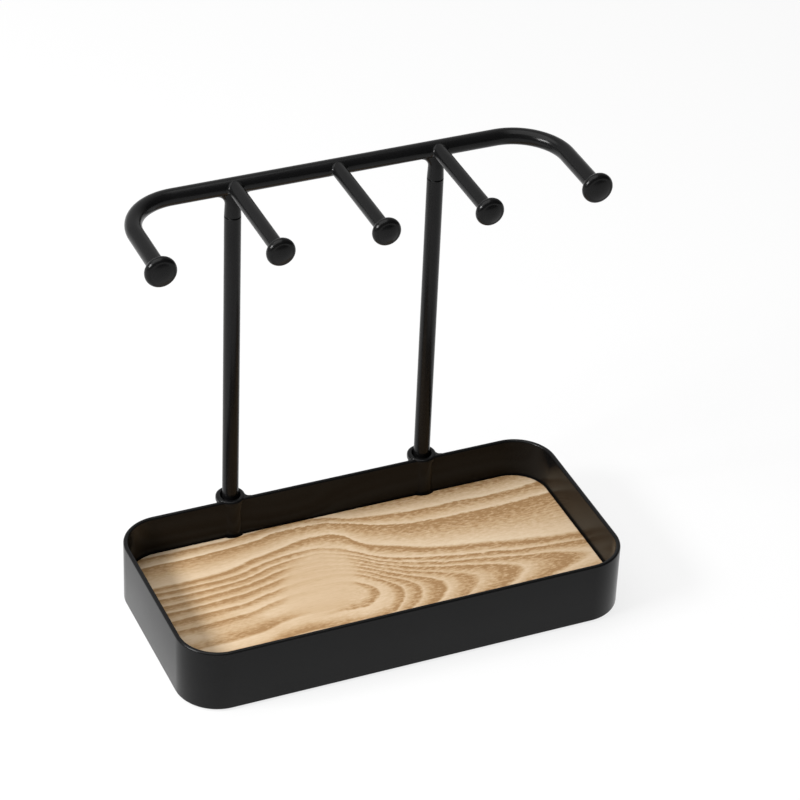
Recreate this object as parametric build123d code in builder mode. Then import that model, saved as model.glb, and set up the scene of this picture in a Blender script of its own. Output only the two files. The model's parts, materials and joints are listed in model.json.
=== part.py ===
from build123d import *
from math import cos, radians, sin
import os

os.makedirs("parts", exist_ok=True)

# Desktop jewelry stand: a shallow steel tray with a wood board in it, and a hanger that stands in two
# sockets at the back. Millimetres, +Z up, +X to the right and -Y towards the user.
# The origin is on the table, under the middle of the overall length and depth.

# Tray sizes
tray_length = 220.0
tray_depth = 108.2
tray_corner_radius = 20.2
wall_thickness = 2.2
wall_height = 32.2
wall_edge_radius = 0.95
floor_thickness = 1.5
floor_recess = 0.7  # underside of the floor above the wall's lower edge

# Board sizes
board_thickness = 10.0
board_edge_radius = 0.7
board_clearance = 0.6  # to the wall, all round
notch_clearance = 0.5  # from the board to the socket lips

# Foot sizes
foot_diameter = 10.0
foot_edge_radius = 0.4
foot_drop = 0.8  # how far the feet reach below the wall
foot_inset = 17.0  # from the tray's outer faces to the middle of a foot

# Socket sizes
socket_diameter = 13.0
socket_base_height = 4.0  # socket's lower end above the wall's lower edge
socket_floor = 2.0
socket_edge_radius = 0.8
lip_diameter = 14.2
lip_proud = 0.3  # lip's top above the wall's top
lip_height = 2.6
lip_edge_radius = 1.1
lip_root_radius = 0.15
mouth_diameter = 10.0
mouth_depth = 2.4
mouth_edge_radius = 0.45
socket_fit = 0.08  # radial play of a post in its socket

# Hanger sizes
post_spacing = 99.0
post_diameter = 7.8
post_setback = 3.2  # post axis behind the tray's rear face
post_tip_chamfer = 0.8
seam_chamfer = 0.5
rail_height = 202.9  # rail axis above the wall's lower edge
rail_diameter = 7.8
arm_spacing = 207.0
bend_radius = 25.0
arm_reach = 59.7  # rail axis to the front of an arm's knob
peg_diameter = 6.8
peg_weld_radius = 1.4  # weld fillet where a peg meets the rail
peg_reach = 62.1  # rail axis to the front of a peg's knob

# Neck sizes
neck_drop = 15.5  # rail axis to the seam between neck and post
neck_waist = 7.3
neck_top_depth = 5.0
neck_flare_radius = 5.5
flare_turns = (0, 30, 60, 85)  # degrees round the flare

# Stud sizes
stud_diameter = 4.0
stud_length = 14.0
stud_tip_chamfer = 0.5
stud_fit = 0.05
stud_end_gap = 0.5

# Knob sizes
arm_knob_diameter = 14.7
peg_knob_diameter = 13.4
knob_throat_proud = 0.3
knob_flare_length = 1.2
knob_edge_depth = 1.9  # rounded edge, from the widest circle in to the face
knob_edge_length = 2.7  # rounded edge, from the widest circle forward to the face
knob_dome = 0.3
knob_cover = 2.6  # solid knob in front of the bar's end

# Fit of pieces that are welded or pressed together
joint_gap = 0.05

# Most of a thickness that one rounded edge may take
edge_share = 0.45

# Places that follow from the sizes
tray_y = -(post_setback + lip_diameter / 2) / 2
wall_bottom_z = foot_drop
wall_top_z = wall_bottom_z + wall_height
floor_bottom_z = wall_bottom_z + floor_recess
board_bottom_z = floor_bottom_z + floor_thickness
socket_bottom_z = wall_bottom_z + socket_base_height
socket_length = wall_top_z + lip_proud - socket_bottom_z
post_y = tray_y + tray_depth / 2 + post_setback
post_bottom_z = socket_bottom_z + socket_floor
rail_z = wall_bottom_z + rail_height
seam_z = rail_z - neck_drop
knob_length = knob_flare_length + 2 * knob_edge_length + knob_dome
inner_length = tray_length - 2 * wall_thickness
inner_depth = tray_depth - 2 * wall_thickness
inner_corner_radius = tray_corner_radius - wall_thickness
post_x = {"left": -post_spacing / 2, "right": post_spacing / 2}
arm_x = {"left": -arm_spacing / 2, "right": arm_spacing / 2}
peg_x = {"left": post_x["left"], "centre": 0.0, "right": post_x["right"]}
socket_spots = [(x, post_y) for x in post_x.values()]


def forward_plane(x, y):
    # Sketch plane level with the rail: sketch +X is to the right, sketch +Y points to the front.
    return Plane(origin=(x, y, rail_z), x_dir=(1, 0, 0), z_dir=(0, 0, -1))


def forward_axis(x):
    return Axis((x, post_y, rail_z), (0, -1, 0))


# Rim band: a steel strip bent into the tray's wall, notched from above for the two sockets
with BuildPart() as rim_band:
    with BuildSketch(Plane((0, tray_y, wall_bottom_z))):
        RectangleRounded(tray_length, tray_depth, tray_corner_radius)
        RectangleRounded(inner_length, inner_depth, inner_corner_radius, mode=Mode.SUBTRACT)
    extrude(amount=wall_height)
    strip_edges = rim_band.edges().group_by(Axis.Z)
    fillet(strip_edges[0] + strip_edges[-1], min(wall_edge_radius, edge_share * wall_thickness))
    with BuildSketch(Plane.XY.offset(socket_bottom_z)):
        with Locations(*socket_spots):
            Circle(socket_diameter / 2 + joint_gap)
    extrude(amount=socket_length, mode=Mode.SUBTRACT)
    with BuildSketch(Plane.XY.offset(wall_top_z)):
        with Locations(*socket_spots):
            Circle(lip_diameter / 2 + joint_gap)
    extrude(amount=lip_proud - lip_height - joint_gap, mode=Mode.SUBTRACT)
rim_band.part.label = "rim_band"
export_step(rim_band.part, "parts/rim_band.step")

# Floor plate: closes the tray just above the wall's lower edge
with BuildPart() as floor_plate:
    with BuildSketch(Plane((0, tray_y, floor_bottom_z))):
        RectangleRounded(
            inner_length - 2 * joint_gap, inner_depth - 2 * joint_gap, inner_corner_radius - joint_gap
        )
    extrude(amount=floor_thickness)
floor_plate.part.label = "floor_plate"
export_step(floor_plate.part, "parts/floor_plate.step")

# Wood board: lies loose on the floor plate, with a shallow notch at each socket
with BuildPart() as wood_board:
    with BuildSketch(Plane((0, tray_y, board_bottom_z))):
        RectangleRounded(
            inner_length - 2 * board_clearance,
            inner_depth - 2 * board_clearance,
            inner_corner_radius - board_clearance,
        )
    extrude(amount=board_thickness)
    board_edges = wood_board.edges().group_by(Axis.Z)
    fillet(board_edges[0] + board_edges[-1], min(board_edge_radius, edge_share * board_thickness))
    with BuildSketch(Plane.XY.offset(board_bottom_z)):
        with Locations(*socket_spots):
            Circle(lip_diameter / 2 + notch_clearance)
    extrude(amount=board_thickness, mode=Mode.SUBTRACT)
wood_board.part.label = "wood_board"
export_step(wood_board.part, "parts/wood_board.step")

# Feet: thin anti-slip discs under the floor plate
foot_x = tray_length / 2 - foot_inset
foot_y = tray_depth / 2 - foot_inset
foot_spots = {
    "front_left": (-foot_x, tray_y - foot_y),
    "front_right": (foot_x, tray_y - foot_y),
    "rear_left": (-foot_x, tray_y + foot_y),
    "rear_right": (foot_x, tray_y + foot_y),
}
for place, (x, y) in foot_spots.items():
    with BuildPart() as foot:
        with BuildSketch(Plane((x, y, 0))):
            Circle(foot_diameter / 2)
        extrude(amount=floor_bottom_z)
        fillet(foot.edges().group_by(Axis.Z)[0], min(foot_edge_radius, edge_share * floor_bottom_z))
    foot.part.label = f"foot_{place}"
    export_step(foot.part, f"parts/foot_{place}.step")

# Sockets: closed tubes set in the rear wall, with a rounded lip and a flared mouth round each post
bore_radius = post_diameter / 2 + socket_fit
for side, x in post_x.items():
    with BuildPart() as socket:
        with BuildSketch(Plane((x, post_y, socket_bottom_z), x_dir=(1, 0, 0), z_dir=(0, -1, 0))):
            with BuildLine():
                wall = FilletPolyline(
                    (0, 0),
                    (socket_diameter / 2, 0),
                    (socket_diameter / 2, socket_length - lip_height),
                    (lip_diameter / 2, socket_length - lip_height),
                    (lip_diameter / 2, socket_length),
                    (mouth_diameter / 2, socket_length),
                    (bore_radius, socket_length - mouth_depth),
                    (bore_radius, socket_floor),
                    (0, socket_floor),
                    radius=[
                        socket_edge_radius,
                        lip_root_radius,
                        lip_root_radius,
                        lip_edge_radius,
                        mouth_edge_radius,
                        mouth_edge_radius,
                        mouth_edge_radius,
                    ],
                )
                Line(wall @ 1, wall @ 0)
            make_face()
        revolve(axis=Axis((x, post_y, 0), (0, 0, 1)))
    socket.part.label = f"socket_{side}"
    export_step(socket.part, f"parts/socket_{side}.step")

# Posts: round bars that stand on the socket floors, drilled at the top for the studs
stud_hole_radius = stud_diameter / 2 + stud_fit
stud_hole_depth = stud_length / 2 + stud_end_gap
for side, x in post_x.items():
    with BuildPart() as post:
        with BuildSketch(Plane((x, post_y, post_bottom_z))):
            Circle(post_diameter / 2)
        extrude(amount=seam_z - post_bottom_z)
        chamfer(post.edges().group_by(Axis.Z)[0], post_tip_chamfer)
        chamfer(post.edges().group_by(Axis.Z)[-1], seam_chamfer)
        with Locations((x, post_y, seam_z)):
            Hole(radius=stud_hole_radius, depth=stud_hole_depth)
    post.part.label = f"post_{side}"
    export_step(post.part, f"parts/post_{side}.step")

# Studs: threaded pins, half in the neck and half in the post
for side, x in post_x.items():
    with BuildPart() as stud:
        with BuildSketch(Plane((x, post_y, seam_z - stud_length / 2))):
            Circle(stud_diameter / 2)
        extrude(amount=stud_length)
        chamfer(stud.edges().filter_by(GeomType.CIRCLE), stud_tip_chamfer)
    stud.part.label = f"stud_{side}"
    export_step(stud.part, f"parts/stud_{side}.step")

# Rail: one round bar across both posts, bent forward at each end into an arm
arm_bar_end_y = post_y - arm_reach + knob_cover
with BuildPart() as rail:
    with BuildLine() as rail_path:
        FilletPolyline(
            (arm_x["left"], arm_bar_end_y, rail_z),
            (arm_x["left"], post_y, rail_z),
            (arm_x["right"], post_y, rail_z),
            (arm_x["right"], arm_bar_end_y, rail_z),
            radius=bend_radius,
        )
    with BuildSketch(Plane(rail_path.line @ 0, z_dir=rail_path.line % 0)):
        Circle(rail_diameter / 2)
    sweep()
rail.part.label = "rail"
export_step(rail.part, "parts/rail.step")


def peg_with_weld(x, grow):
    # A peg welded to a short length of rail, all of it grown by the same amount to make a cutter.
    with BuildPart() as welded:
        with BuildSketch(Plane((x, post_y, rail_z), z_dir=(1, 0, 0))):
            Circle(rail_diameter / 2 + grow)
        extrude(amount=peg_diameter, both=True)
        with BuildSketch(Plane((x, post_y, rail_z), z_dir=(0, -1, 0))):
            Circle(peg_diameter / 2 + grow)
        extrude(amount=peg_reach - knob_cover)
        plain_edges = (GeomType.CIRCLE, GeomType.LINE)
        weld_line = [edge for edge in welded.edges() if edge.geom_type not in plain_edges]
        fillet(weld_line, peg_weld_radius - grow)
    return welded.part


# Pegs: thinner bars, each with its weld fillet, hollowed at the root to sit against the rail
for place, x in peg_x.items():
    welded_peg = peg_with_weld(x, 0)
    with BuildPart() as peg:
        add(welded_peg)
        with BuildSketch(Plane((x, post_y, rail_z), z_dir=(1, 0, 0))):
            Circle(rail_diameter / 2 + joint_gap)
        extrude(amount=2 * peg_diameter, both=True, mode=Mode.SUBTRACT)
    peg.part.label = f"peg_{place}"
    export_step(peg.part, f"parts/peg_{place}.step")

# Necks: stubs that flare along the rail at the top and end at the seam, cut to clear the pegs
flare_bottom_z = rail_z - rail_diameter / 2 - neck_flare_radius
for side, x in post_x.items():
    peg_cutter = peg_with_weld(x, joint_gap)
    with BuildPart() as neck:
        with BuildSketch(Plane((x, post_y, seam_z))):
            Circle(post_diameter / 2)
        with BuildSketch(Plane((x, post_y, flare_bottom_z))):
            Circle(neck_waist / 2)
        loft()
        for turn in flare_turns:
            rise = neck_flare_radius * sin(radians(turn))
            spread = neck_flare_radius * (1 - cos(radians(turn)))
            thinning = (neck_waist - neck_top_depth) * rise / neck_flare_radius
            with BuildSketch(Plane((x, post_y, flare_bottom_z + rise))):
                Ellipse(neck_waist / 2 + spread, (neck_waist - thinning) / 2)
        with BuildSketch(Plane((x, post_y, rail_z))):
            Ellipse(neck_waist / 2 + neck_flare_radius, neck_top_depth / 2)
        loft()
        chamfer(neck.edges().group_by(Axis.Z)[0], seam_chamfer)
        with BuildSketch(Plane((x, post_y, rail_z), z_dir=(1, 0, 0))):
            Circle(rail_diameter / 2 + joint_gap)
        extrude(amount=post_spacing / 2, both=True, mode=Mode.SUBTRACT)
        add(peg_cutter, mode=Mode.SUBTRACT)
        with BuildSketch(Plane((x, post_y, seam_z))):
            Circle(stud_hole_radius)
        extrude(amount=stud_hole_depth, mode=Mode.SUBTRACT)
    neck.part.label = f"neck_{side}"
    export_step(neck.part, f"parts/neck_{side}.step")


def knob_profile(x, reach, diameter, bar_diameter):
    # Half section of a knob: hollow flare at the back, a full rounded edge and a slightly domed face.
    bore = bar_diameter / 2 + joint_gap
    throat = bar_diameter / 2 + knob_throat_proud
    face = diameter / 2 - knob_edge_depth
    widest = knob_flare_length + knob_edge_length
    with BuildSketch(forward_plane(x, post_y - reach + knob_length)) as half_section:
        with BuildLine():
            back = Line((bore, 0), (throat, 0))
            TangentArc(back @ 1, (face, knob_flare_length), tangent=(0, 1))
            edge = EllipticalCenterArc(
                (face, widest), knob_edge_depth, knob_edge_length, start_angle=-90, arc_size=180
            )
            TangentArc((0, knob_length), edge @ 1, tangent=(1, 0))
            bore_end = knob_length - knob_cover
            Polyline((0, knob_length), (0, bore_end), (bore, bore_end), back @ 0)
        make_face()
    return half_section.sketch


# Knobs: turned buttons on the ends of the arms and pegs
for side, x in arm_x.items():
    with BuildPart() as arm_knob:
        revolve(knob_profile(x, arm_reach, arm_knob_diameter, rail_diameter), axis=forward_axis(x))
    arm_knob.part.label = f"knob_arm_{side}"
    export_step(arm_knob.part, f"parts/knob_arm_{side}.step")

for place, x in peg_x.items():
    with BuildPart() as peg_knob:
        revolve(knob_profile(x, peg_reach, peg_knob_diameter, peg_diameter), axis=forward_axis(x))
    peg_knob.part.label = f"knob_peg_{place}"
    export_step(peg_knob.part, f"parts/knob_peg_{place}.step")
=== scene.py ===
import json
import math
import bmesh
import bpy
import numpy as np
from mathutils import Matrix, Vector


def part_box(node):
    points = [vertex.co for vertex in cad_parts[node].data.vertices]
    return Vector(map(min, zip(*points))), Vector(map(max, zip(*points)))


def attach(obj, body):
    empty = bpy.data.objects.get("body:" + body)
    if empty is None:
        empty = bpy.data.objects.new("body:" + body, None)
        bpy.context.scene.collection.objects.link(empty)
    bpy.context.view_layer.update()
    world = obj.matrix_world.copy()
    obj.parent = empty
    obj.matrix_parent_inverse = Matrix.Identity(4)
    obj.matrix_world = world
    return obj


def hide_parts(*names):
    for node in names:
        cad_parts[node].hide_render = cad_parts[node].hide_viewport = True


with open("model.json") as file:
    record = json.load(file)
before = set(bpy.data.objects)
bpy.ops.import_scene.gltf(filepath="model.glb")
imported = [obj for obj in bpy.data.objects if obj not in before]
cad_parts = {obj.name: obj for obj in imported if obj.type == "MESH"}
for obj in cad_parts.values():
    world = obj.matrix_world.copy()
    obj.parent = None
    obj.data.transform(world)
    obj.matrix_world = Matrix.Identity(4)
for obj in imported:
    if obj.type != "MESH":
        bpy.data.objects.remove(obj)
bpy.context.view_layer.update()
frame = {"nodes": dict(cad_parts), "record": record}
print("frame loaded with", len(frame["nodes"]), "nodes")

mm = 0.001
fullTurn = 2 * math.pi
up = np.array([0.0, 0.0, 1.0])
right = np.array([1.0, 0.0, 0.0])
forward = np.array([0.0, -1.0, 0.0])  # towards the user


# Lowest corner, highest corner and middle of a node's box
def nodeBox(node):
    low, high = (np.array(corner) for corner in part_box(node))
    return low, high, (low + high) / 2


def unit(vector):
    return vector / np.linalg.norm(vector, axis=-1, keepdims=True)


def roundAngles(around):
    return np.linspace(0, fullTurn, around, endpoint=False)


# Arc from one spoke to another, turning evenly: each spoke counts by the sine of its share of the turn
def sweep(first, last, turn, share):
    return (np.sin((1 - share) * turn) * first + np.sin(share * turn) * last) / np.sin(turn)


# Polyline whose inner corners become arcs tangent to both runs: from each corner the arc starts at
# radius / tan(half the corner's angle), and its points turn evenly about the arc's centre.
def roundedLine(points, radii, steps):
    points = np.asarray(points, float)
    parts = [points[:1]]
    share = np.linspace(0, 1, steps + 1)[:, None]
    for before, corner, after, radius in zip(points[:-2], points[1:-1], points[2:], radii):
        toBefore = unit(before - corner)
        toAfter = unit(after - corner)
        half = math.acos(float(np.clip(toBefore @ toAfter, -1, 1))) / 2
        centre = corner + unit(toBefore + toAfter) * radius / math.sin(half)
        first = corner + toBefore * radius / math.tan(half) - centre
        last = corner + toAfter * radius / math.tan(half) - centre
        parts.append(centre + sweep(first, last, math.pi - 2 * half, share))
    parts.append(points[-1:])
    return np.concatenate(parts)


# Turned shape: each profile point (radius, height) is carried round the axis through every angle.
def turnedGrid(profile, base, axis, side, around=72):
    angle = roundAngles(around)[:, None]
    spokes = np.cos(angle) * side + np.sin(angle) * np.cross(axis, side)
    profile = np.asarray(profile, float)
    return base + profile[:, 0, None, None] * spokes + profile[:, 1, None, None] * axis


# Grid of points (rows, columns, xyz) made into quads: columns close round the shape, rows may too.
# Rows that shrink to one point become poles when doubles are merged; flat ends may be capped instead.
def gridMesh(name, grid, closeRows=False, capEnds=False, sharpAngle=38, mergeGap=1e-7):
    rows, columns = grid.shape[:2]
    index = np.arange(rows * columns).reshape(rows, columns)
    caps = index[[0, -1]].tolist() if capEnds else []
    if closeRows:
        index = np.concatenate([index, index[:1]])
    index = np.concatenate([index, index[:, :1]], axis=1)
    quads = np.stack([index[:-1, :-1], index[:-1, 1:], index[1:, 1:], index[1:, :-1]], axis=-1)
    mesh = bpy.data.meshes.new(name)
    mesh.from_pydata(grid.reshape(-1, 3).tolist(), [], quads.reshape(-1, 4).tolist() + caps)
    work = bmesh.new()
    work.from_mesh(mesh)
    bmesh.ops.remove_doubles(work, verts=work.verts, dist=mergeGap)
    bmesh.ops.recalc_face_normals(work, faces=work.faces)
    work.to_mesh(mesh)
    work.free()
    mesh.shade_smooth()
    mesh.set_sharp_from_angle(angle=math.radians(sharpAngle))
    return mesh


def addPiece(name, grid, body, slot, *nodes, **closing):
    mesh = gridMesh(name, grid, **closing)
    mesh.materials.append(materialOf[slot])
    piece = bpy.data.objects.new(name, mesh)
    bpy.context.scene.collection.objects.link(piece)
    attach(piece, body)
    if nodes:
        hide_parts(*nodes)


# Shader nodes: a value is either a number or another node's output
def fill(tree, socket, value):
    if isinstance(value, bpy.types.NodeSocket):
        tree.links.new(value, socket)
    else:
        socket.default_value = value


def addNode(tree, kind, settings=None, **sockets):
    node = tree.nodes.new(kind)
    for key, value in (settings or {}).items():
        setattr(node, key, value)
    for key, value in sockets.items():
        fill(tree, node.inputs[key.replace("_", " ")], value)
    return node


def mathNode(tree, operation, *values, clamp=False):
    node = addNode(tree, "ShaderNodeMath", {"operation": operation, "use_clamp": clamp})
    for socket, value in zip(node.inputs, values):
        fill(tree, socket, value)
    return node.outputs[0]


# A Mix node keeps its colours in sockets 6 and 7, and gives the mixed colour as output 2
def mixColour(tree, share, first, second):
    node = addNode(tree, "ShaderNodeMix", {"data_type": "RGBA"})
    for place, value in ((0, share), (6, first), (7, second)):
        fill(tree, node.inputs[place], value)
    return node.outputs[2]


def rampNode(tree, value, stops):
    node = addNode(tree, "ShaderNodeValToRGB", Fac=value)
    elements = node.color_ramp.elements
    elements.remove(elements[1])
    elements[0].position, elements[0].color = stops[0]
    for place, colour in stops[1:]:
        elements.new(place).color = colour
    return node.outputs[0]


# Carries one span of values to another and holds the ends
def rangeNode(tree, value, fromSpan, toSpan=(0.0, 1.0), kind="LINEAR"):
    return addNode(
        tree,
        "ShaderNodeMapRange",
        {"interpolation_type": kind},
        Value=value,
        From_Min=fromSpan[0],
        From_Max=fromSpan[1],
        To_Min=toSpan[0],
        To_Max=toSpan[1],
    ).outputs[0]


def noise(tree, place, scale, detail=2.0, roughness=0.5):
    return addNode(
        tree, "ShaderNodeTexNoise", Vector=place, Scale=scale, Detail=detail, Roughness=roughness
    ).outputs[0]


# Noise with a scale of its own along each axis
def drawnNoise(tree, place, scales, detail=2.0, roughness=0.5):
    drawn = addNode(tree, "ShaderNodeMapping", Vector=place, Scale=scales).outputs[0]
    return noise(tree, drawn, 1.0, detail, roughness)


def addBump(tree, shader, height, distance, strength):
    bump = addNode(tree, "ShaderNodeBump", Height=height, Distance=distance, Strength=strength)
    fill(tree, shader.inputs["Normal"], bump.outputs[0])


def grey(level):
    return (level, level, level, 1)


def newMaterial(name):
    material = bpy.data.materials.new(name)
    material.use_nodes = True
    tree = material.node_tree
    return material, tree, tree.nodes["Principled BSDF"]


def objectPlace(tree):
    return tree.nodes.new("ShaderNodeTexCoord").outputs["Object"]


# Black powder coat: satin, with a fine orange-peel bump and a faint cloudiness
coat = {
    "dark": (0.0042, 0.0042, 0.0044, 1),
    "light": (0.0064, 0.0064, 0.0066, 1),
    "cloudScale": 55.0,
    "cloudDetail": 3,
    "roughness": (0.2, 0.27),
    "gloss": 0.17,
    "peelScale": 900.0,
    "peelHeight": 0.03 * mm,
    "peelStrength": 0.1,
}


def powderCoat():
    material, tree, shader = newMaterial("black powder coat")
    place = objectPlace(tree)
    cloud = noise(tree, place, coat["cloudScale"], coat["cloudDetail"])
    fill(tree, shader.inputs["Base Color"], mixColour(tree, cloud, coat["dark"], coat["light"]))
    fill(tree, shader.inputs["Roughness"], rangeNode(tree, cloud, (0, 1), coat["roughness"]))
    shader.inputs["Specular IOR Level"].default_value = coat["gloss"]
    peel = noise(tree, place, coat["peelScale"])
    addBump(tree, shader, peel, coat["peelHeight"], coat["peelStrength"])
    return material


# Ash veneer, in mm from the tray's middle. Four long growth rings are drawn as curves over the board,
# each giving its distance from the middle at places along the board. Under the lowest one the rings
# close round a heart line: crests gives, in hundredths, the ring that the heart has reached.
ash = {
    "colours": [  # from the palest wood to the darkest
        (0.0, (0.715, 0.585, 0.410, 1)),
        (0.14, (0.665, 0.510, 0.345, 1)),
        (0.38, (0.585, 0.425, 0.265, 1)),
        (0.72, (0.475, 0.310, 0.162, 1)),
        (1.0, (0.345, 0.200, 0.088, 1)),
    ],
    "heart": [(-110, -14), (-70, -13), (-50, -9), (-30, -7), (-10, -9), (0, -12), (10, -14.5),
              (28, -17.5), (55, -18.5), (92, -19), (110, -20)],
    "crests": [(-110, 2), (-45, 1), (-22, 3), (-3, 22), (9, 41), (28.5, 61), (55, 75), (92, 88),
               (110, 91)],
    "ringOne": [(-110, 21), (-80, 20.5), (-60, 21.5), (-50, 23.5), (-40, 26.5), (-30, 28), (-20, 28),
                (-10, 25), (0, 19), (8, 12.5), (20, 6.5), (40, 1), (60, -3.5), (80, -7), (110, -11)],
    "ringTwo": [(-110, 24.8), (-80, 24.4), (-65, 25.5), (-55, 27.5), (-48, 30), (-40, 31.8), (-30, 34),
                (-20, 36), (-10, 36), (-2, 33), (3, 26), (8, 21), (20, 15.5), (30, 10.8), (40, 7.4),
                (60, 3), (80, -1.5), (110, -6)],
    "ringThree": [(-110, 42), (-80, 41.5), (-60, 42), (-40, 44), (-28, 46), (-15, 46), (0, 43),
                  (10, 38.5), (20, 34), (40, 30), (60, 29), (80, 29), (110, 30)],
    "ringFour": [(-110, 48.5), (-60, 48), (-40, 49.5), (-20, 51), (-5, 48.5), (5, 44.5), (15, 42),
                 (40, 39.5), (60, 38.5), (80, 38), (95, 39), (110, 41)],
    "innerRings": {  # place and tone of each ring round the heart
        "rings": [(0.23, 0.75), (0.41, 0.85), (0.51, 0.8), (0.61, 1.0), (0.70, 0.8), (0.795, 0.95),
                  (0.887, 0.9), (1.0, 1.0)],
        "span": (0.0, 1.1),
        "rise": 0.075,
        "fall": 0.02,
    },
    "leftRings": {  # the same on the left, where they are fewer
        "rings": [(0.16, 0.75), (0.38, 0.95), (0.56, 0.95), (0.72, 1.0), (0.875, 1.0), (1.0, 1.0)],
        "span": (0.0, 1.1),
        "rise": 0.11,
        "fall": 0.03,
    },
    "outerRings": {
        "rings": [(2.0, 1.1), (3.0, 1.0), (4.0, 1.0), (5.0, 0.9)],
        "span": (1.0, 5.0),
        "rise": 0.75,
        "fall": 0.1,
    },
    "lastRing": 12 * mm,  # width of the ring behind the fourth
    "leftSpan": (-38 * mm, -14 * mm),  # where the left rings pass into the others
    "frontStretch": -0.62,  # wider rings in front of the heart
    "darkening": 0.78,  # under 1, wider brown bands
    "lean": 0.8,  # sideways shift of the rings with depth
    "waves": {"scale": (38, 90, 90), "detail": 2, "roughness": 0.5, "shift": 2.6 * mm},
    "fibre": {"scale": (70, 1500, 1500), "detail": 3, "roughness": 0.65, "shift": 1.6 * mm, "tone": 0.16},
    "ragged": {"scale": (340, 780, 780), "detail": 4, "roughness": 0.66, "shift": 2.6 * mm,
               "left": -1.7 * mm},
    "fleck": {"scale": (330, 800, 800), "detail": 2, "roughness": 0.6, "tone": 2.2, "left": -0.9},
    "clouds": {"scale": (14, 34, 34), "detail": 2, "roughness": 0.5, "tone": 0.35},
    "pores": {"scale": (150, 2600, 2600), "detail": 1, "roughness": 0.5, "span": (0.58, 0.72),
              "tone": (0.0, 0.5), "inPale": 0.1},
    "eye": {"middle": (-25, 3), "turn": 54, "half": (27, 17), "tone": 0.2, "fade": -0.8},
    "patch": {"middle": (-78, -11), "turn": -20, "half": (26, 8), "tone": 0.22},
    "ovalEdge": (0.75, 1.25),
    "roughness": 0.62,
    "gloss": 0.2,
    "bumpHeight": 0.04 * mm,
    "bumpStrength": 0.4,
}
ringTone = {"heart": 0.1, "before": 0.15, "after": 0.03}


# Smooth curve of a height over places along the board, both in mm, as a node that gives metres
def curveNode(tree, along, points):
    lowIn, highIn = points[0][0], points[-1][0]
    lowOut = min(y for x, y in points) - 1
    highOut = max(y for x, y in points) + 1
    node = addNode(tree, "ShaderNodeFloatCurve", Value=rangeNode(tree, along, (lowIn * mm, highIn * mm)))
    curve = node.mapping.curves[0]
    while len(curve.points) < len(points):
        curve.points.new(0.5, 0.5)
    for spot, (x, y) in zip(curve.points, points):
        spot.location = ((x - lowIn) / (highIn - lowIn), (y - lowOut) / (highOut - lowOut))
    node.mapping.update()
    return rangeNode(tree, node.outputs[0], (0, 1), (lowOut * mm, highOut * mm))


# Ring profile: the tone rises slowly to each ring's dark line and falls off sharply beyond it
def ringRamp(tree, value, look):
    first, last = look["span"]
    stops = [(0.0, grey(ringTone["heart"]))]
    for level, tone in look["rings"]:
        before, after = level - look["rise"], level + look["fall"]
        for place, shade in ((before, ringTone["before"]), (level, tone), (after, ringTone["after"])):
            stops.append(((place - first) / (last - first), grey(shade)))
    share = rangeNode(tree, value, look["span"])
    return rampNode(tree, share, [stop for stop in stops if 0 <= stop[0] <= 1])


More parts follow.
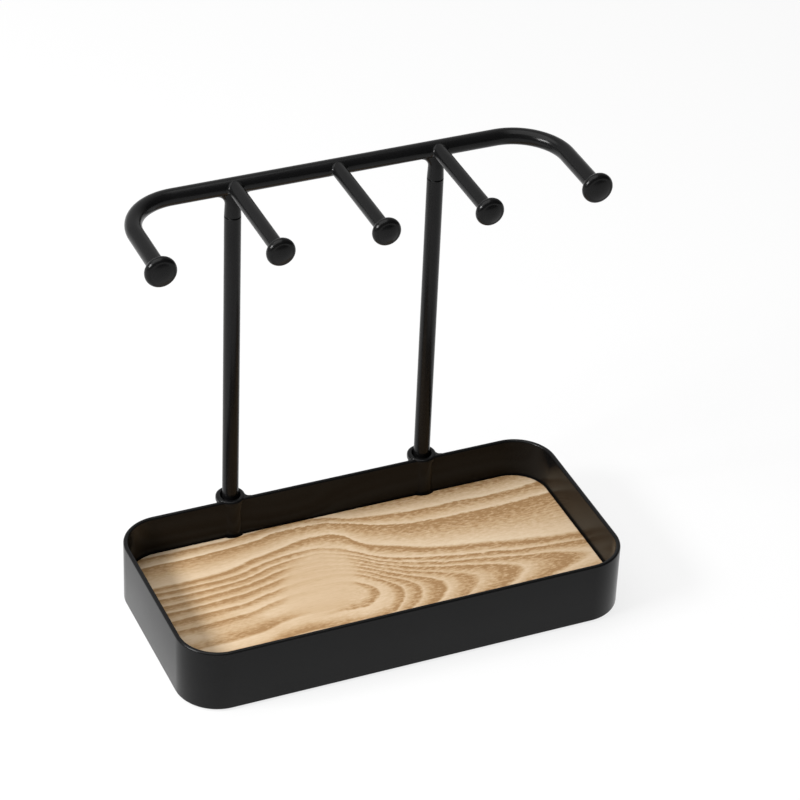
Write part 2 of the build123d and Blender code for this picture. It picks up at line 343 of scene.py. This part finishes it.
def ashVeneer():
    boardTop = nodeBox("wood_board")[1]
    trayMiddle = nodeBox("rim_band")[2]
    material, tree, shader = newMaterial("ash veneer")
    offset = (0, -float(trayMiddle[1]), -float(boardTop[2]))
    local = addNode(tree, "ShaderNodeMapping", Vector=objectPlace(tree), Location=offset).outputs[0]
    along, across, height = addNode(tree, "ShaderNodeSeparateXYZ", Vector=local).outputs

    def grain(name):
        return drawnNoise(tree, local, ash[name]["scale"], ash[name]["detail"], ash[name]["roughness"])

    def centred(value, size, base):
        return mathNode(tree, "MULTIPLY_ADD", mathNode(tree, "SUBTRACT", value, 0.5), size, base)

    def ratio(low, top):
        rise = mathNode(tree, "SUBTRACT", across, low)
        return mathNode(tree, "DIVIDE", rise, mathNode(tree, "SUBTRACT", top, low))

    # A leaning oval on the board, 1 inside and 0 outside, with a soft edge
    def oval(spot):
        turned = addNode(
            tree,
            "ShaderNodeMapping",
            {"vector_type": "TEXTURE"},
            Vector=local,
            Location=(spot["middle"][0] * mm, spot["middle"][1] * mm, 0),
            Rotation=(0, 0, math.radians(spot["turn"])),
            Scale=(spot["half"][0] * mm, spot["half"][1] * mm, 1),
        ).outputs[0]
        reach = addNode(tree, "ShaderNodeVectorMath", {"operation": "LENGTH"}, Vector=turned)
        return rangeNode(tree, reach.outputs["Value"], ash["ovalEdge"], (1.0, 0.0), "SMOOTHSTEP")

    # Slow waves and fine fibres shift the rings, less so on the left, and the rings lean with depth
    onLeft = rangeNode(tree, along, ash["leftSpan"], (1.0, 0.0))
    fibre = grain("fibre")
    raggedShift = mathNode(tree, "MULTIPLY_ADD", onLeft, ash["ragged"]["left"], ash["ragged"]["shift"])
    across = mathNode(tree, "MULTIPLY_ADD", height, ash["lean"], across)
    across = centred(grain("waves"), ash["waves"]["shift"], across)
    across = centred(fibre, ash["fibre"]["shift"], across)
    across = centred(grain("ragged"), raggedShift, across)

    # Inside: the root of crest + (1 - crest) * share squared, the share running from heart to first ring
    heart = curveNode(tree, along, ash["heart"])
    hundredths = 0.01 / mm
    crest = mathNode(tree, "MULTIPLY", curveNode(tree, along, ash["crests"]), hundredths)
    crest = mathNode(tree, "POWER", crest, 2)
    names = ("ringOne", "ringTwo", "ringThree", "ringFour")
    rings = [curveNode(tree, along, ash[name]) for name in names]
    inner = ratio(heart, rings[0])
    inner = mathNode(tree, "MAXIMUM", inner, mathNode(tree, "MULTIPLY", inner, ash["frontStretch"]))
    inner = mathNode(tree, "POWER", inner, 2)
    inner = mathNode(tree, "MULTIPLY_ADD", mathNode(tree, "SUBTRACT", 1.0, crest), inner, crest)
    inner = mathNode(tree, "SQRT", inner)

    # Outside: 1 at the first ring, and 1 more at each ring behind it
    outer = 1.0
    for lower, upper in zip(rings[:-1], rings[1:]):
        share = mathNode(tree, "MAXIMUM", mathNode(tree, "MINIMUM", ratio(lower, upper), 1.0), 0.0)
        outer = mathNode(tree, "ADD", outer, share)
    beyond = mathNode(tree, "SUBTRACT", across, rings[-1])
    beyond = mathNode(tree, "DIVIDE", beyond, ash["lastRing"])
    outer = mathNode(tree, "ADD", outer, mathNode(tree, "MAXIMUM", beyond, 0.0))

    # In the eye the rings fade to plain sandy wood, and a brown patch lies in front of the left lines
    eye, patch = oval(ash["eye"]), oval(ash["patch"])
    outside = mathNode(tree, "MULTIPLY_ADD", eye, ash["eye"]["fade"], 1.0)
    innerTone = ringRamp(tree, inner, ash["innerRings"])
    innerTone = mixColour(tree, onLeft, innerTone, ringRamp(tree, inner, ash["leftRings"]))
    innerTone = mathNode(tree, "POWER", innerTone, ash["darkening"])
    innerTone = mathNode(tree, "MULTIPLY", innerTone, outside)
    tone = mathNode(tree, "ADD", innerTone, ringRamp(tree, outer, ash["outerRings"]))
    tone = mathNode(tree, "MULTIPLY_ADD", eye, ash["eye"]["tone"], tone)
    tone = mathNode(tree, "MULTIPLY_ADD", patch, ash["patch"]["tone"], tone)
    flecks = mathNode(tree, "MULTIPLY_ADD", onLeft, ash["fleck"]["left"], ash["fleck"]["tone"])
    flecks = mathNode(tree, "MULTIPLY", outside, flecks)
    tone = mathNode(tree, "MULTIPLY", tone, centred(grain("fleck"), flecks, 1.0))
    tone = centred(fibre, ash["fibre"]["tone"], tone)
    tone = centred(grain("clouds"), ash["clouds"]["tone"], tone)

    # Open pores: short dark dashes along the grain, most of them in the dark wood
    pores = rangeNode(tree, grain("pores"), ash["pores"]["span"], ash["pores"]["tone"])
    poreShare = mathNode(tree, "ADD", tone, ash["pores"]["inPale"], clamp=True)
    pores = mathNode(tree, "MULTIPLY", pores, poreShare)
    darkest = ash["colours"][-1][1]
    colour = mixColour(tree, pores, rampNode(tree, tone, ash["colours"]), darkest)
    fill(tree, shader.inputs["Base Color"], colour)
    shader.inputs["Roughness"].default_value = ash["roughness"]
    shader.inputs["Specular IOR Level"].default_value = ash["gloss"]
    addBump(tree, shader, fibre, ash["bumpHeight"], ash["bumpStrength"])
    return material


# Rubber of the feet: matt, finely speckled
rubber = {
    "dark": grey(0.012),
    "light": grey(0.03),
    "speckScale": 1800.0,
    "roughness": 0.85,
    "bumpHeight": 0.04 * mm,
    "bumpStrength": 0.5,
}


def footRubber():
    material, tree, shader = newMaterial("foot rubber")
    speck = noise(tree, objectPlace(tree), rubber["speckScale"])
    fill(tree, shader.inputs["Base Color"], mixColour(tree, speck, rubber["dark"], rubber["light"]))
    shader.inputs["Roughness"].default_value = rubber["roughness"]
    addBump(tree, shader, speck, rubber["bumpHeight"], rubber["bumpStrength"])
    return material


# Steel of the studs: bare, with fine turning marks
steel = {"dark": grey(0.42), "light": grey(0.62), "markScale": (300, 300, 6000), "roughness": 0.38}


def studSteel():
    material, tree, shader = newMaterial("stud steel")
    marks = drawnNoise(tree, objectPlace(tree), steel["markScale"])
    fill(tree, shader.inputs["Base Color"], mixColour(tree, marks, steel["dark"], steel["light"]))
    shader.inputs["Metallic"].default_value = 1.0
    shader.inputs["Roughness"].default_value = steel["roughness"]
    return material


materialOf = {
    "black_coat": powderCoat(),
    "ash_wood": ashVeneer(),
    "foot_rubber": footRubber(),
    "stud_steel": studSteel(),
}
for entry in frame["record"]["subparts"]:
    nodeObject = frame["nodes"][entry["node"]]
    nodeObject.data.materials.clear()
    nodeObject.data.materials.append(materialOf[entry["material_slot"]])
print("materials made")


# Rim band: a strip section carried round a rounded rectangle. Round each socket the strip ends on a
# cylinder inside the socket's wall, and only its lowest part runs on underneath.
band = {
    "cornerRadius": 20.2 * mm,
    "thickness": 2.2 * mm,
    "edgeRadius": 0.95 * mm,
    "endRadius": 5.8 * mm,
}


# The strip's section: a rectangle with rounded edges, started in the middle of its lower side
def stripSection(thickness, height, edge, steps=6):
    half = thickness / 2
    points = [(half, 0), (thickness, 0), (thickness, height), (0, height), (0, 0), (half, 0)]
    return roundedLine(points, [edge] * 4, steps)[:-1]


def rimBand():
    low, high, centre = nodeBox("rim_band")
    halfSize = (high - low) / 2
    radius, wall = band["cornerRadius"], high[2] - low[2]
    section = stripSection(band["thickness"], wall, band["edgeRadius"])
    inset, rise = section[:, 0], section[:, 1]
    bridge = nodeBox("socket_left")[0][2] - low[2]  # height of the part that runs on
    lowered = np.where(rise > bridge / 2, rise - (wall - bridge), rise)

    def corner(signX, signY, startAngle, steps=28):
        angle = np.radians(np.linspace(startAngle, startAngle + 90, steps + 1))[:, None]
        x = centre[0] + signX * (halfSize[0] - radius) + np.cos(angle) * (radius - inset)
        y = centre[1] + signY * (halfSize[1] - radius) + np.sin(angle) * (radius - inset)
        return np.stack([x, y, np.broadcast_to(low[2] + rise, x.shape)], axis=-1)

    def socketGap(node):
        axis = nodeBox(node)[2]
        y = high[1] - inset
        chord = np.sqrt(band["endRadius"] ** 2 - (y - axis[1]) ** 2)
        stations = [(chord, rise), (chord, lowered), (-chord, lowered), (-chord, rise)]
        return np.stack([np.stack([axis[0] + dx, y, low[2] + z], axis=-1) for dx, z in stations])

    return np.concatenate(
        [
            corner(1, 1, 0),
            socketGap("socket_right"),
            socketGap("socket_left"),
            corner(-1, 1, 90),
            corner(-1, -1, 180),
            corner(1, -1, 270),
        ]
    )


addPiece("rim_band_strip", rimBand(), "tray", "black_coat", "rim_band", closeRows=True)


# Sockets: turned tubes, with a rounded lip, a flared mouth and a flat floor under the post
socket = {
    "tubeRadius": 6.5 * mm,
    "edgeRadius": 0.8 * mm,
    "lipHeight": 2.6 * mm,
    "lipEdge": 1.1 * mm,
    "lipRoot": 0.15 * mm,
    "mouthRadius": 5.0 * mm,
    "mouthDepth": 2.4 * mm,
    "mouthEdge": 0.45 * mm,
    "boreRadius": 3.98 * mm,
    "floor": 2.0 * mm,
}


def socketTube(node, steps=7):
    low, high, axis = nodeBox(node)
    length = high[2] - low[2]
    lip, lipFoot = (high[0] - low[0]) / 2, length - socket["lipHeight"]
    tube, bore, mouth = socket["tubeRadius"], socket["boreRadius"], socket["mouthEdge"]
    points = [
        (0, 0),
        (tube, 0),
        (tube, lipFoot),
        (lip, lipFoot),
        (lip, length),
        (socket["mouthRadius"], length),
        (bore, length - socket["mouthDepth"]),
        (bore, socket["floor"]),
        (0, socket["floor"]),
    ]
    radii = [socket["edgeRadius"], socket["lipRoot"], socket["lipRoot"], socket["lipEdge"]]
    profile = roundedLine(points, radii + [mouth] * 3, steps)
    return turnedGrid(profile, np.array([axis[0], axis[1], low[2]]), up, right)


# Welds: in each corner between a socket and the band's back, a hollow arc tangent to the lip and to the
# band is carried up the socket, and its ends shrink towards the corner on a quarter circle.
weld = {
    "left": 1.4 * mm,
    "right": 2.8 * mm,
    "sunk": 0.7 * mm,
    "end": 0.8 * mm,
    "endSize": 0.6,
    "drop": 0.2 * mm,
}


def socketWeld(node, way, radius, steps=16):
    low, high, axis = nodeBox(node)
    bandHigh = nodeBox("rim_band")[1]
    lip = (high[0] - low[0]) / 2
    behind = axis[1] - bandHigh[1]
    reach = math.sqrt((lip + radius) ** 2 - (behind - radius) ** 2)
    angle = np.linspace(math.atan2(behind - radius, -reach), 0.75 * fullTurn, steps + 1)
    arc = np.stack([reach + radius * np.cos(angle), radius - behind + radius * np.sin(angle)], axis=-1)
    inside, under = socket["tubeRadius"] - weld["sunk"], -behind - weld["sunk"]
    hidden = [(reach, under), (math.sqrt(inside**2 - under**2), under), inside * unit(arc[0])]
    loop = np.concatenate([arc, hidden])
    corner = np.array([math.sqrt(lip**2 - behind**2), -behind])
    turn = np.radians([0, 30, 60, 90])
    shrink = weld["endSize"] + (1 - weld["endSize"]) * np.cos(turn)
    rise = weld["end"] * (1 - np.sin(turn))
    top = bandHigh[2] - weld["drop"]
    scale = np.concatenate([[0], shrink[::-1], shrink, [0]])
    z = np.concatenate([[low[2]], low[2] + rise[::-1], top - rise, [top]])
    plan = corner + scale[:, None, None] * (loop - corner)
    x, y = axis[0] + way * plan[..., 0], axis[1] + plan[..., 1]
    return np.stack([x, y, np.broadcast_to(z[:, None], x.shape)], axis=-1)


for node in ("socket_left", "socket_right"):
    addPiece(f"{node}_tube", socketTube(node), "tray", "black_coat", node)
    for way, name in ((-1, "left"), (1, "right")):
        addPiece(f"{node}_weld_{name}", socketWeld(node, way, weld[name]), "tray", "black_coat")
print("tray pieces made")


# Wood board: the outline is a rounded rectangle with a round notch at each socket; its edge section
# turns from the underside over the side to the top face.
board = {
    "cornerRadius": 17.4 * mm,
    "edgeRadius": 0.7 * mm,
    "edgeArc": 0.99,  # share of the edge radius that is round
    "notchGap": 0.5 * mm,
    "sharpAngle": 30,
}


def boardOutline(low, high, cornerSteps=24, notchSteps=20):
    radius = board["cornerRadius"]

    def arc(x, y, reach, start, end, steps):
        angle = np.radians(np.linspace(start, end, steps + 1))
        normal = np.stack([np.cos(angle), np.sin(angle)], axis=-1)
        return np.array([x, y]) + reach * normal, normal * (1 if end > start else -1)

    def notch(node):
        gapLow, gapHigh, axis = nodeBox(node)
        reach = (gapHigh[0] - gapLow[0]) / 2 + board["notchGap"]
        lean = math.degrees(math.asin((axis[1] - high[1]) / reach))
        return arc(axis[0], axis[1], reach, -lean, -180 + lean, notchSteps)

    parts = [
        arc(high[0] - radius, high[1] - radius, radius, 0, 90, cornerSteps),
        notch("socket_right"),
        notch("socket_left"),
        arc(low[0] + radius, high[1] - radius, radius, 90, 180, cornerSteps),
        arc(low[0] + radius, low[1] + radius, radius, 180, 270, cornerSteps),
        arc(high[0] - radius, low[1] + radius, radius, 270, 360, cornerSteps),
    ]
    return [np.concatenate(rows) for rows in zip(*parts)]


def woodBoard(edgeSteps=6):
    low, high, _ = nodeBox("wood_board")
    outline, normal = boardOutline(low, high)
    edge, thickness = board["edgeRadius"], high[2] - low[2]
    corners = [(edge, 0), (0, 0), (0, thickness), (edge, thickness)]
    section = roundedLine(corners, [edge * board["edgeArc"]] * 2, edgeSteps)
    plan = outline - section[:, 0, None, None] * normal
    height = np.broadcast_to((low[2] + section[:, 1])[:, None, None], plan.shape[:2] + (1,))
    return np.concatenate([plan, height], axis=-1)


addPiece(
    "wood_board_panel",
    woodBoard(),
    "board",
    "ash_wood",
    "wood_board",
    capEnds=True,
    sharpAngle=board["sharpAngle"],
)
print("board made")


# Rail: a circle carried along a flat path with two bends
rail = {"bendRadius": 25.0 * mm}
railLow, railHigh, railMiddle = nodeBox("rail")
railRadius = (railHigh[2] - railLow[2]) / 2
railZ = railMiddle[2]
railY = railHigh[1] - railRadius


def railBar(around=64, bendSteps=40):
    armX = railHigh[0] - railRadius
    corners = [(-armX, railLow[1]), (-armX, railY), (armX, railY), (armX, railLow[1])]
    path = roundedLine(corners, [rail["bendRadius"]] * 2, bendSteps)
    step = unit(path[1:] - path[:-1])
    ahead = np.concatenate([step[:1], step[1:] + step[:-1], step[-1:]])
    aside = unit(np.stack([ahead[:, 1], -ahead[:, 0]], axis=-1))
    reach = np.full(len(path), railRadius)
    path = np.concatenate([path[:1], path, path[-1:]])  # both ends close to a point
    aside = np.concatenate([aside[:1], aside, aside[-1:]])
    reach = np.concatenate([[0], reach, [0]])[:, None]
    angle = roundAngles(around)
    plan = path[:, None, :] + (reach * np.cos(angle))[..., None] * aside[:, None, :]
    height = railZ + reach * np.sin(angle)
    return np.concatenate([plan, height[..., None]], axis=-1)


# Posts and necks: the post is a turned bar; the neck is a stack of ellipses that runs from the post's
# width to a waist and then flares along the rail like a quarter circle.
post = {"tipChamfer": 0.8 * mm, "seamChamfer": 0.4 * mm}
neck = {"waist": 7.3 * mm, "topDepth": 5.0 * mm, "flareRadius": 5.5 * mm, "flareTurn": 85}


def postBar(node):
    low, high, axis = nodeBox(node)
    radius, length = (high[0] - low[0]) / 2, high[2] - low[2]
    tip, seam = post["tipChamfer"], post["seamChamfer"]
    profile = [
        (0, 0),
        (radius - tip, 0),
        (radius, tip),
        (radius, length - seam),
        (radius - seam, length),
        (0, length),
    ]
    return turnedGrid(profile, np.array([axis[0], axis[1], low[2]]), up, right)


def neckStub(side, around=72, steps=13):
    low, high, axis = nodeBox(f"post_{side}")
    seamZ, chamfer, barRadius = high[2], post["seamChamfer"], (high[0] - low[0]) / 2
    waist, flare, topDepth = neck["waist"] / 2, neck["flareRadius"], neck["topDepth"] / 2
    flareZ = railZ - railRadius - flare
    turn = np.radians(np.linspace(0, neck["flareTurn"], steps + 1))
    foot = [0, barRadius - chamfer, barRadius]
    width = np.concatenate([foot, waist + flare * (1 - np.cos(turn)), [waist + flare, 0]])
    depth = np.concatenate([foot, waist - (waist - topDepth) * np.sin(turn), [topDepth, 0]])
    footZ = [seamZ, seamZ, seamZ + chamfer]
    height = np.concatenate([footZ, flareZ + flare * np.sin(turn), [railZ, railZ]])
    angle = roundAngles(around)
    x = axis[0] + width[:, None] * np.cos(angle)
    y = axis[1] + depth[:, None] * np.sin(angle)
    return np.stack([x, y, np.broadcast_to(height[:, None], x.shape)], axis=-1)


for side in ("left", "right"):
    addPiece(f"post_{side}_bar", postBar(f"post_{side}"), "hanger", "black_coat", f"post_{side}")
    addPiece(f"neck_{side}_stub", neckStub(side), "hanger", "black_coat", f"neck_{side}")
addPiece("rail_bar", railBar(), "hanger", "black_coat", "rail")
print("posts and rail made")


# Pegs: a bar that ends in a weld fillet on the rail. The fillet is the path of a ball that touches both
# bars: its centre is one ball radius off each, and its arc runs from the peg to the rail.
peg = {"radius": 3.4 * mm, "weld": 1.4 * mm, "rootSize": 0.9}


def pegBar(node, around=64, steps=8):
    low, _, middle = nodeBox(node)
    angle = roundAngles(around)
    ring = np.stack([np.cos(angle), np.zeros(around), np.sin(angle)], axis=-1)
    ball = ring * (peg["radius"] + peg["weld"])
    railReach = railRadius + peg["weld"]
    ball[:, 1] = np.sqrt(railReach**2 - ball[:, 2] ** 2)
    toRail = ball * np.array([0, -1, -1]) / railReach
    swing = np.arccos((-ring * toRail).sum(-1))[:, None]
    share = np.linspace(0, 1, steps + 1)[:, None, None]
    fillet = ball + peg["weld"] * sweep(-ring, toRail, swing, share)
    tip = np.array([0, railY - low[1], 0])
    straight = ring * peg["radius"] + tip
    pole = np.broadcast_to(tip, straight.shape)
    root = fillet[-1] * peg["rootSize"]  # inside the rail, then to its axis
    grid = np.concatenate([pole[None], straight[None], fillet, root[None], 0 * root[None]])
    return np.array([middle[0], railY, railZ]) + grid * np.array([1, -1, 1])


# Knobs: turned buttons with a hollow flare at the back, a full rounded edge and a slightly domed face
knob = {
    "throatProud": 0.3 * mm,
    "flareLength": 1.2 * mm,
    "edgeDepth": 1.9 * mm,
    "edgeLength": 2.3 * mm,
}


# Circle arc from first to last that leaves first along the given direction: its centre lies on the
# normal at first, as far off as the chord's length squared over twice the chord's part along it.
def tangentArc(first, last, direction, steps=10):
    first, last = np.asarray(first, float), np.asarray(last, float)
    normal = np.array([-direction[1], direction[0]])
    chord = last - first
    reach = (chord @ chord) / (2 * (chord @ normal))
    centre = first + normal * reach
    start = np.arctan2(*(first - centre)[::-1])
    turn = np.arctan2(*(last - centre)[::-1]) - start
    turn = (turn + math.pi) % fullTurn - math.pi
    angle = start + np.linspace(0, 1, steps + 1) * turn
    return centre + abs(reach) * np.stack([np.cos(angle), np.sin(angle)], axis=-1)


# The knob's section: an arc out to the face's radius, half an ellipse over the edge, an arc to the middle
def knobHead(node, barRadius, around=80, edgeSteps=36):
    low, high, axis = nodeBox(node)
    depth, half = knob["edgeDepth"], knob["edgeLength"]
    face = (high[0] - low[0]) / 2 - depth
    flare = tangentArc((barRadius + knob["throatProud"], 0), (face, knob["flareLength"]), (0, 1))
    turn = np.linspace(-math.pi / 2, math.pi / 2, edgeSteps + 1)
    widest = knob["flareLength"] + half
    edge = np.stack([face + depth * np.cos(turn), widest + half * np.sin(turn)], axis=-1)
    front = tangentArc((0, high[1] - low[1]), edge[-1], (1, 0))[::-1]
    profile = np.concatenate([[(0, 0)], flare, edge[1:], front[1:]])
    return turnedGrid(profile, np.array([axis[0], high[1], axis[2]]), forward, right, around)


for node in ("peg_left", "peg_centre", "peg_right"):
    addPiece(f"{node}_bar", pegBar(node), "hanger", "black_coat", node)
    head = f"knob_{node}"
    addPiece(f"{head}_head", knobHead(head, peg["radius"]), "hanger", "black_coat", head)
for head in ("knob_arm_left", "knob_arm_right"):
    addPiece(f"{head}_head", knobHead(head, railRadius), "hanger", "black_coat", head)
print("pegs and knobs made")


# Floor, lamps, world and camera
stage = {
    "floorSize": 30.0,
    "floorColour": grey(0.93),
    "floorRoughness": 0.9,
    "floorGloss": 0.1,
    "floorLift": 0.8,
    "world": [  # light from front to back
        (0.0, grey(0.08)),
        (0.5, grey(0.08)),
        (0.8, grey(0.55)),
        (1.0, grey(0.65)),
    ],
}
lamps = {
    "left softbox": {
        "place": (-1.0, -0.03, 0.78),
        "aim": (0, 0, 0.1),
        "size": (0.5, 0.26),
        "power": 15.0,
    },
    "top softbox": {
        "place": (-0.35, 0.1, 1.5),
        "aim": (0, 0, 0),
        "size": (1.5, 1.5),
        "power": 16.0,
    },
}
shot = {
    "place": (-488.992 * mm, -1101.639 * mm, 944.515 * mm),
    "turn": (55.2912, -2.1066, -23.0395),
    "lens": 145.185,
    "sensor": 36.0,
    "nearest": 0.05,
}


# The floor is one flat square
def makeFloor():
    half = stage["floorSize"] / 2
    points = [(-half, -half, 0), (half, -half, 0), (half, half, 0), (-half, half, 0)]
    mesh = bpy.data.meshes.new("floor")
    mesh.from_pydata(points, [], [(0, 1, 2, 3)])
    floor = bpy.data.objects.new("floor", mesh)
    bpy.context.scene.collection.objects.link(floor)
    material, tree, shader = newMaterial("pale floor")
    shader.inputs["Base Color"].default_value = stage["floorColour"]
    shader.inputs["Roughness"].default_value = stage["floorRoughness"]
    shader.inputs["Specular IOR Level"].default_value = stage["floorGloss"]
    # Seen straight or in a reflection, the floor is lifted towards white and keeps part of the shadow
    path = tree.nodes.new("ShaderNodeLightPath").outputs
    seen = mathNode(tree, "ADD", path["Is Camera Ray"], path["Is Glossy Ray"])
    seen = mathNode(tree, "ADD", seen, path["Is Transmission Ray"])
    seen = mathNode(tree, "MULTIPLY", seen, stage["floorLift"], clamp=True)
    glow = addNode(tree, "ShaderNodeEmission", Color=grey(1.0), Strength=1.0).outputs[0]
    mixed = tree.nodes.new("ShaderNodeMixShader")
    for socketIn, value in zip(mixed.inputs, (seen, shader.outputs[0], glow)):
        fill(tree, socketIn, value)
    fill(tree, tree.nodes["Material Output"].inputs["Surface"], mixed.outputs[0])
    mesh.materials.append(material)


def makeLamps():
    for name, lamp in lamps.items():
        light = bpy.data.lights.new(name, "AREA")
        light.shape = "RECTANGLE"
        light.size, light.size_y = lamp["size"]
        light.energy = lamp["power"]
        holder = bpy.data.objects.new(name, light)
        holder.location = lamp["place"]
        aim = Vector(lamp["aim"]) - Vector(lamp["place"])
        holder.rotation_euler = aim.to_track_quat("-Z", "Y").to_euler()
        bpy.context.scene.collection.objects.link(holder)


def makeWorld():
    world = bpy.data.worlds.new("studio")
    bpy.context.scene.world = world
    world.use_nodes = True
    tree = world.node_tree
    direction = tree.nodes.new("ShaderNodeTexCoord").outputs["Generated"]
    depth = addNode(tree, "ShaderNodeSeparateXYZ", Vector=direction).outputs[1]
    light = rampNode(tree, rangeNode(tree, depth, (-1.0, 1.0)), stage["world"])
    fill(tree, tree.nodes["Background"].inputs["Color"], light)


def makeCamera():
    lens = bpy.data.cameras.new("photo view")
    lens.lens = shot["lens"]
    lens.sensor_width = shot["sensor"]
    lens.clip_start = shot["nearest"]
    camera = bpy.data.objects.new("photo view", lens)
    camera.location = shot["place"]
    camera.rotation_euler = [math.radians(angle) for angle in shot["turn"]]
    bpy.context.scene.collection.objects.link(camera)
    bpy.context.scene.camera = camera


makeFloor()
makeLamps()
makeWorld()
makeCamera()
bpy.context.scene.view_settings.view_transform = "Standard"
print("stage set")
